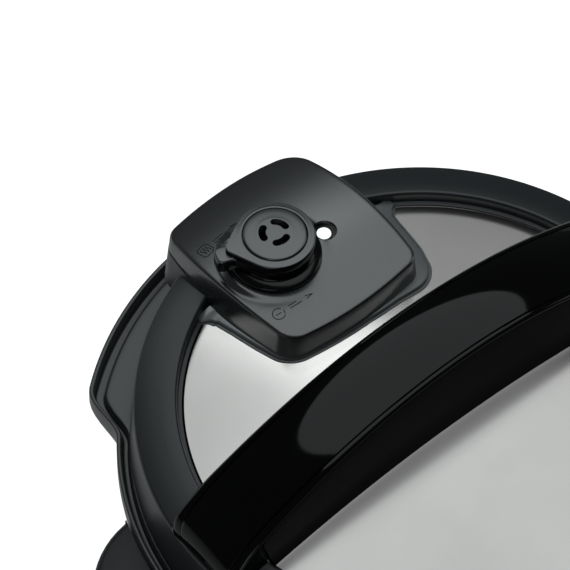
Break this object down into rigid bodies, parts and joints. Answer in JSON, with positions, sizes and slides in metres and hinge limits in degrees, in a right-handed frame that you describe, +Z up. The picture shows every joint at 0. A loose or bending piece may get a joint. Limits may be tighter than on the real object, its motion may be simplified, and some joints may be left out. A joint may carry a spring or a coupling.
{
  "type": "electric pressure cooker",
  "caption": "Tabletop electric pressure cooker: steel-sided heating base with control panel, lift-out pot, and locking lid with arch handle, steam release knob and float valve.",
  "frame": {"origin": "centre of the footprint, on the surface the feet stand on", "axes": "+Z up, -Y the front with the control panel, +Y the rear with the steam valve and the condensation collector, +X the cooker's right-hand side handle seen from the front"},
  "size_m": [0.336, 0.2962, 0.317],
  "materials": {
    "satin_black": "satin moulded plastic",
    "piano_black": "polished",
    "polished_steel": "polished stainless steel",
    "brushed_steel": "brushed round the body",
    "plain_steel": "machined",
    "aluminium": "satin",
    "foot_rubber": "matt",
    "silicone": "translucent white silicone",
    "slide_nylon": "natural nylon",
    "clear_plastic": "clear moulded plastic",
    "key_grey": "satin",
    "board_green": "solder mask",
    "display_glass": "dark display window"
  },
  "bodies": {
    "base": {"bottom_cover": "satin_black", "outer_shell": "brushed_steel", "top_rim": "satin_black", "handle_left": "satin_black", "handle_right": "satin_black", "foot_front_left": "foot_rubber", "foot_front_right": "foot_rubber", "foot_rear_left": "foot_rubber", "foot_rear_right": "foot_rubber", "locking_ring": "polished_steel", "pot_well": "aluminium", "heating_plate": "aluminium", "heating_element": "plain_steel", "sensor_bracket": "plain_steel", "sensor_spring": "plain_steel", "thermal_fuse": "plain_steel", "pressure_switch": "piano_black", "power_board": "board_green", "power_inlet": "satin_black", "control_panel": "piano_black", "display_window": "display_glass", "control_board": "board_green", "collector_bracket": "satin_black"},
    "sensor": {"temperature_sensor": "aluminium"},
    "collector": {"condensation_collector": "clear_plastic"},
    "turn_slide": {"lid_position_slide": "slide_nylon"},
    "pot": {"inner_pot": "polished_steel"},
    "lid": {"steel_lid": "polished_steel", "lid_ring": "satin_black", "valve_housing": "satin_black", "arch_handle": "piano_black", "handle_screw_left": "plain_steel", "handle_screw_right": "plain_steel", "sealing_ring": "silicone", "seal_rack": "plain_steel", "exhaust_pipe": "plain_steel", "exhaust_nut": "plain_steel", "anti_block_shield": "plain_steel"},
    "steam_knob": {"release_knob": "satin_black", "knob_cap": "satin_black", "valve_weight": "plain_steel"},
    "float_valve": {"float_pin": "plain_steel", "float_seal": "silicone"},
    "key_pressure_cook_body": {"key_pressure_cook": "key_grey"},
    "key_rice_body": {"key_rice": "key_grey"},
    "key_soup_body": {"key_soup": "key_grey"},
    "key_saute_body": {"key_saute": "key_grey"},
    "key_slow_cook_body": {"key_slow_cook": "key_grey"},
    "key_keep_warm_body": {"key_keep_warm": "key_grey"},
    "key_minus_body": {"key_minus": "key_grey"},
    "key_plus_body": {"key_plus": "key_grey"},
    "key_cancel_body": {"key_cancel": "key_grey"},
    "key_start_body": {"key_start": "key_grey"}
  },
  "joints": [
    {"name": "lid_turn", "type": "hinge", "parent": "base", "child": "turn_slide", "pos_m": [0, -0.00785, 0.23], "axis": [0, 0, 1], "range_deg": [-30, 0]},
    {"name": "lid_lift", "type": "slide", "parent": "turn_slide", "child": "lid", "axis": [0, 0, 1], "range_m": [0, 0.32]},
    {"name": "pot_lift", "type": "slide", "parent": "base", "child": "pot", "axis": [0, 0, 1], "range_m": [0, 0.16]},
    {"name": "sensor_rise", "type": "slide", "parent": "base", "child": "sensor", "axis": [0, 0, 1], "range_m": [0, 0.002], "deforming": ["sensor_spring"]},
    {"name": "knob_turn", "type": "hinge", "parent": "lid", "child": "steam_knob", "pos_m": [-0.0128, 0.08385, 0.2867], "axis": [0, 0, 1], "range_deg": [-27, 75]},
    {"name": "float_rise", "type": "slide", "parent": "lid", "child": "float_valve", "axis": [0, 0, 1], "range_m": [0, 0.007]},
    {"name": "collector_slide", "type": "slide", "parent": "base", "child": "collector", "axis": [0, 1, 0], "range_m": [0, 0.06]},
    {"name": "key_pressure_cook_press", "type": "slide", "parent": "base", "child": "key_pressure_cook_body", "axis": [0.3256, 0.9455, 0], "range_m": [0, 0.0012], "stiffness_N_per_m": 500},
    {"name": "key_rice_press", "type": "slide", "parent": "base", "child": "key_rice_body", "axis": [0.3256, 0.9455, 0], "range_m": [0, 0.0012], "stiffness_N_per_m": 500},
    {"name": "key_soup_press", "type": "slide", "parent": "base", "child": "key_soup_body", "axis": [0.3256, 0.9455, 0], "range_m": [0, 0.0012], "stiffness_N_per_m": 500},
    {"name": "key_saute_press", "type": "slide", "parent": "base", "child": "key_saute_body", "axis": [-0.3256, 0.9455, 0], "range_m": [0, 0.0012], "stiffness_N_per_m": 500},
    {"name": "key_slow_cook_press", "type": "slide", "parent": "base", "child": "key_slow_cook_body", "axis": [-0.3256, 0.9455, 0], "range_m": [0, 0.0012], "stiffness_N_per_m": 500},
    {"name": "key_keep_warm_press", "type": "slide", "parent": "base", "child": "key_keep_warm_body", "axis": [-0.3256, 0.9455, 0], "range_m": [0, 0.0012], "stiffness_N_per_m": 500},
    {"name": "key_minus_press", "type": "slide", "parent": "base", "child": "key_minus_body", "axis": [0.0802, 0.9968, 0], "range_m": [0, 0.0012], "stiffness_N_per_m": 500},
    {"name": "key_plus_press", "type": "slide", "parent": "base", "child": "key_plus_body", "axis": [-0.0802, 0.9968, 0], "range_m": [0, 0.0012], "stiffness_N_per_m": 500},
    {"name": "key_cancel_press", "type": "slide", "parent": "base", "child": "key_cancel_body", "axis": [0.1392, 0.9903, 0], "range_m": [0, 0.0012], "stiffness_N_per_m": 500},
    {"name": "key_start_press", "type": "slide", "parent": "base", "child": "key_start_body", "axis": [-0.1392, 0.9903, 0], "range_m": [0, 0.0012], "stiffness_N_per_m": 500}
  ],
  "couplings": [
    {"joint": "pot_lift", "follows": "lid_lift", "ratio": 0.5},
    {"joint": "sensor_rise", "follows": "lid_lift", "ratio": 0.00625}
  ]
}
